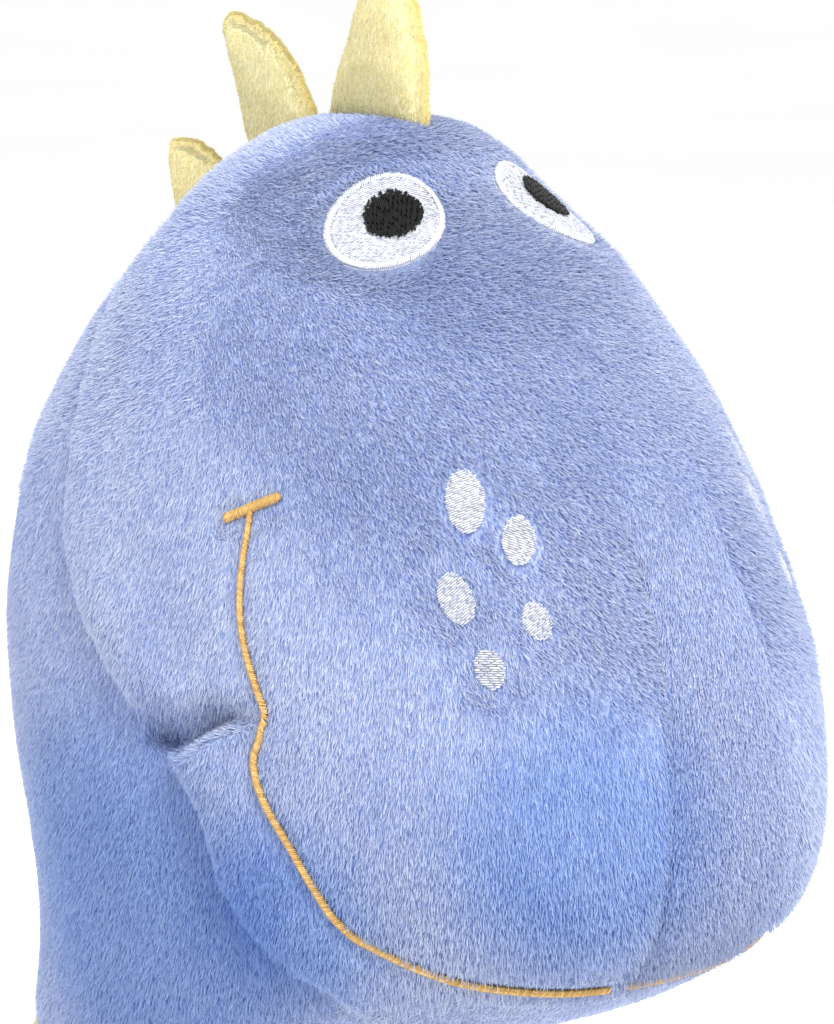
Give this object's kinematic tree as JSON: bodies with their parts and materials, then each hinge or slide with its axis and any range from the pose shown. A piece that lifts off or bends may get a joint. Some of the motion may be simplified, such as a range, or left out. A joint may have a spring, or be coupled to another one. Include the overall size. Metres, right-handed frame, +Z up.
{
  "type": "stuffed dinosaur",
  "caption": "Seated plush dinosaur with a big rounded snout, embroidered eyes and smile, soft spikes down its back, arms, legs and tail.",
  "frame": {"origin": "on the floor under the middle of the toy's bounding box", "axes": "+Z up, the dinosaur faces -Y and its right side is -X"},
  "size_m": [0.2496, 0.2796, 0.3908],
  "materials": {
    "blue_plush": "matte",
    "cream_plush": "matte",
    "white_thread": "satin",
    "black_thread": "satin",
    "gold_thread": "satin",
    "filling": "matte",
    "pellet_bag": "matte"
  },
  "bodies": {
    "torso": {"belly_panel": "blue_plush", "body_back_panel_right": "blue_plush", "body_back_panel_left": "blue_plush", "seat_panel": "blue_plush", "body_stuffing": "filling", "pellet_pouch": "pellet_bag", "spike_4": "cream_plush", "spike_5": "cream_plush", "spike_6": "cream_plush"},
    "head": {"face_panel": "blue_plush", "chin_panel": "blue_plush", "head_back_panel_right": "blue_plush", "head_back_panel_left": "blue_plush", "head_stuffing": "filling", "eye_white_right": "white_thread", "eye_pupil_right": "black_thread", "cheek_spot_right_1": "white_thread", "cheek_spot_right_2": "white_thread", "cheek_spot_right_3": "white_thread", "cheek_spot_right_4": "white_thread", "cheek_spot_right_5": "white_thread", "mouth_line_right": "gold_thread", "mouth_corner_right": "gold_thread", "eye_white_left": "white_thread", "eye_pupil_left": "black_thread", "cheek_spot_left_1": "white_thread", "cheek_spot_left_2": "white_thread", "cheek_spot_left_3": "white_thread", "cheek_spot_left_4": "white_thread", "cheek_spot_left_5": "white_thread", "mouth_line_left": "gold_thread", "mouth_corner_left": "gold_thread", "mouth_line_center": "gold_thread", "spike_1": "cream_plush", "spike_2": "cream_plush", "spike_3": "cream_plush"},
    "arm_right": {"arm_skin_right": "blue_plush", "arm_stuffing_right": "filling"},
    "leg_right": {"leg_skin_right": "blue_plush", "leg_stuffing_right": "filling", "leg_sole_right": "cream_plush"},
    "arm_left": {"arm_skin_left": "blue_plush", "arm_stuffing_left": "filling"},
    "leg_left": {"leg_skin_left": "blue_plush", "leg_stuffing_left": "filling", "leg_sole_left": "cream_plush"},
    "tail": {"tail_skin": "blue_plush", "tail_stuffing": "filling", "spike_7": "cream_plush", "spike_8": "cream_plush", "spike_9": "cream_plush"}
  },
  "joints": [
    {"name": "neck_nod", "type": "hinge", "parent": "torso", "child": "head", "pos_m": [0, -0.02075, 0.151], "axis": [1, 0, 0], "range_deg": [-6, 12], "stiffness_Nm_per_rad": 1.5},
    {"name": "shoulder_right", "type": "hinge", "parent": "torso", "child": "arm_right", "pos_m": [-0.0555, -0.05225, 0.1457], "axis": [1, 0, 0], "range_deg": [-60, 18]},
    {"name": "hip_right", "type": "hinge", "parent": "torso", "child": "leg_right", "pos_m": [-0.072, -0.04625, 0.033], "axis": [1, 0, 0], "range_deg": [-45, 0]},
    {"name": "shoulder_left", "type": "hinge", "parent": "torso", "child": "arm_left", "pos_m": [0.0555, -0.05225, 0.1457], "axis": [1, 0, 0], "range_deg": [-60, 18]},
    {"name": "hip_left", "type": "hinge", "parent": "torso", "child": "leg_left", "pos_m": [0.072, -0.04625, 0.033], "axis": [1, 0, 0], "range_deg": [-45, 0]},
    {"name": "tail_lift", "type": "hinge", "parent": "torso", "child": "tail", "pos_m": [0, 0.04425, 0.046], "axis": [1, 0, 0], "range_deg": [-6, 15]}
  ]
}
